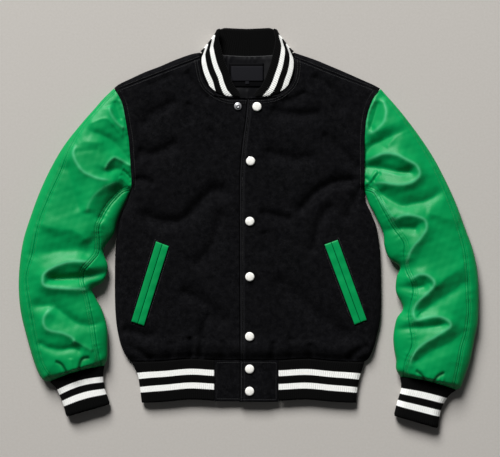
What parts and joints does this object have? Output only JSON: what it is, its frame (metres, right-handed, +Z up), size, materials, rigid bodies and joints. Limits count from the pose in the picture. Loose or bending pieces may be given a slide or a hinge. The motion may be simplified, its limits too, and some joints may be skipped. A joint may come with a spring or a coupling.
{
  "type": "varsity jacket",
  "caption": "Snap-front varsity jacket laid flat, with leather sleeves, a striped rib-knit collar, cuffs and hem, and slanted welt pockets.",
  "frame": {"origin": "on the surface the jacket lies on, under the middle of its bounding box", "axes": "+X towards the wearer's left, +Y towards the collar, +Z up from the surface, out of the jacket's front"},
  "size_m": [0.8729, 0.7579, 0.0455],
  "materials": {
    "wool": "matte melton wool with a short nap",
    "leather": "semi-gloss smooth dyed leather",
    "rib": "matte rib knit with two white stripes",
    "satin": "soft satin lining",
    "label": "blank woven label",
    "cap": "pearl-white glossy snap cap",
    "stud": "plain metal snap stud"
  },
  "bodies": {
    "root": {"back_panel": "wool", "front_right": "wool", "front_left": "wool", "hem_tab_right": "wool", "hem_tab_left": "wool", "sleeve_front_right": "leather", "sleeve_front_left": "leather", "sleeve_back_right": "leather", "sleeve_back_left": "leather", "pocket_welt_outer_right": "leather", "pocket_welt_inner_right": "leather", "pocket_welt_outer_left": "leather", "pocket_welt_inner_left": "leather", "cuff_right": "rib", "cuff_left": "rib", "hem_rib": "rib", "collar": "rib", "back_lining": "satin", "label_patch": "satin", "label_blank": "label", "label_tag": "label", "snap_stud": "stud", "snap_cap_1": "cap", "snap_cap_2": "cap", "snap_cap_3": "cap", "snap_cap_4": "cap", "snap_cap_5": "cap", "snap_cap_6": "cap", "snap_cap_7": "cap"}
  },
  "joints": []
}
